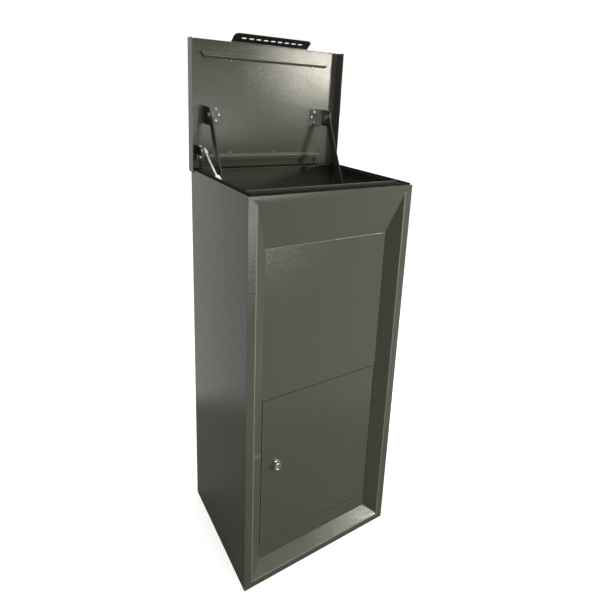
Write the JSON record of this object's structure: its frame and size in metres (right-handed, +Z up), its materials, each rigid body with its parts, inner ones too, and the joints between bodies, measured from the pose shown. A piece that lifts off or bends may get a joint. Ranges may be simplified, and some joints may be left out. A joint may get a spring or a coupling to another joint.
{
  "type": "drop box",
  "caption": "Tall floor-standing steel drop box with a rear-hinged top lid, a lifting inner shelf, a gas strut and a locked retrieval door below.",
  "frame": {"origin": "centre of the cabinet's underside, on the floor", "axes": "+Z up, -Y out of the front, +X to the right seen from the front"},
  "size_m": [0.4438, 0.3763, 1.3569],
  "materials": {
    "paint": "semi-gloss fine-texture powder coat, warm olive grey",
    "dark_paint": "satin dark green-grey coat",
    "black_tab": "satin black powder coat",
    "rubber": "matt black extruded rubber",
    "zinc": "bright zinc plate",
    "chrome": "polished chrome",
    "light_strut": "light grey satin coat"
  },
  "bodies": {
    "cabinet": {"side_panel_left": "paint", "side_panel_right": "paint", "rear_panel": "paint", "front_frame": "paint", "upper_front_panel": "paint", "door_sill": "paint", "floor_tray": "paint", "front_channel": "paint", "rim_seal": "rubber", "hinge_leaf_cabinet_left": "dark_paint", "hinge_leaf_cabinet_right": "dark_paint", "hinge_pin_left": "zinc", "hinge_pin_right": "zinc", "shelf_hinge_rod": "zinc", "shelf_bracket_left": "dark_paint", "shelf_bracket_right": "dark_paint", "strut_bracket_cabinet": "dark_paint", "strut_stud_cabinet": "zinc", "door_pin_top": "zinc", "door_pin_foot": "zinc", "lock_keeper": "paint"},
    "lid": {"lid_pan": "paint", "lid_rail_front": "paint", "lid_rail_rear": "paint", "lid_rivet_1": "zinc", "lid_rivet_2": "zinc", "lid_rivet_3": "zinc", "lid_rivet_4": "zinc", "handle_tab": "black_tab", "hinge_leaf_lid_left": "dark_paint", "hinge_leaf_lid_right": "dark_paint", "arm_bracket_left": "dark_paint", "arm_bracket_right": "dark_paint", "arm_pivot_pin_left": "zinc", "arm_pivot_pin_right": "zinc", "arm_bracket_screw_left_1": "zinc", "arm_bracket_screw_left_2": "zinc", "arm_bracket_screw_left_3": "zinc", "arm_bracket_screw_right_1": "zinc", "arm_bracket_screw_right_2": "zinc", "arm_bracket_screw_right_3": "zinc", "strut_bracket_lid": "dark_paint", "strut_stud_lid": "zinc", "strut_bracket_screw_1": "zinc", "strut_bracket_screw_2": "zinc", "strut_bracket_screw_3": "zinc"},
    "arm_left": {"link_arm_left": "dark_paint", "arm_slot_pin_left": "zinc"},
    "arm_right": {"link_arm_right": "dark_paint", "arm_slot_pin_right": "zinc"},
    "shelf": {"shelf_panel": "paint"},
    "strut_rod": {"strut_rod": "light_strut"},
    "strut_tube": {"strut_cylinder": "light_strut", "strut_foot_socket": "light_strut"},
    "door": {"door_panel": "paint", "lock_barrel": "chrome", "lock_nut": "zinc"},
    "lock": {"lock_plug": "chrome", "lock_cam": "zinc", "lock_cam_screw": "dark_paint"}
  },
  "joints": [
    {"name": "lid_hinge", "type": "hinge", "parent": "cabinet", "child": "lid", "pos_m": [0, 0.1865, 1.01], "axis": [1, 0, 0], "range_deg": [0, 88.3]},
    {"name": "arm_left_pivot", "type": "hinge", "parent": "lid", "child": "arm_left", "pos_m": [-0.177, 0.15524, 1.15314], "axis": [1, 0, 0], "range_deg": [-55.8, 0]},
    {"name": "arm_right_pivot", "type": "hinge", "parent": "lid", "child": "arm_right", "pos_m": [0.177, 0.15524, 1.15314], "axis": [1, 0, 0], "range_deg": [-55.8, 0]},
    {"name": "shelf_hinge", "type": "hinge", "parent": "cabinet", "child": "shelf", "pos_m": [0, 0.1745, 0.812], "axis": [1, 0, 0], "range_deg": [0, 77]},
    {"name": "strut_swing", "type": "hinge", "parent": "lid", "child": "strut_rod", "pos_m": [-0.19, 0.15949, 1.06062], "axis": [1, 0, 0], "range_deg": [-103.9, 0]},
    {"name": "strut_stroke", "type": "slide", "parent": "strut_rod", "child": "strut_tube", "axis": [0, 0.8497, 0.5273], "range_m": [0, 0.05391]},
    {"name": "door_hinge", "type": "hinge", "parent": "cabinet", "child": "door", "pos_m": [0.1615, -0.1495, 0.299], "axis": [0, 0, 1], "range_deg": [0, 105]},
    {"name": "lock_turn", "type": "hinge", "parent": "door", "child": "lock", "pos_m": [-0.1265, -0.154, 0.3185], "axis": [0, 1, 0], "range_deg": [0, 90]}
  ],
  "couplings": [
    {"joint": "arm_left_pivot", "follows": "lid_hinge", "ratio": -0.6308},
    {"joint": "arm_right_pivot", "follows": "lid_hinge", "ratio": -0.6308},
    {"joint": "shelf_hinge", "follows": "lid_hinge", "ratio": 0.87089},
    {"joint": "strut_swing", "follows": "lid_hinge", "ratio": -1.1755},
    {"joint": "strut_stroke", "follows": "lid_hinge", "m_per_rad": 0.034914}
  ]
}
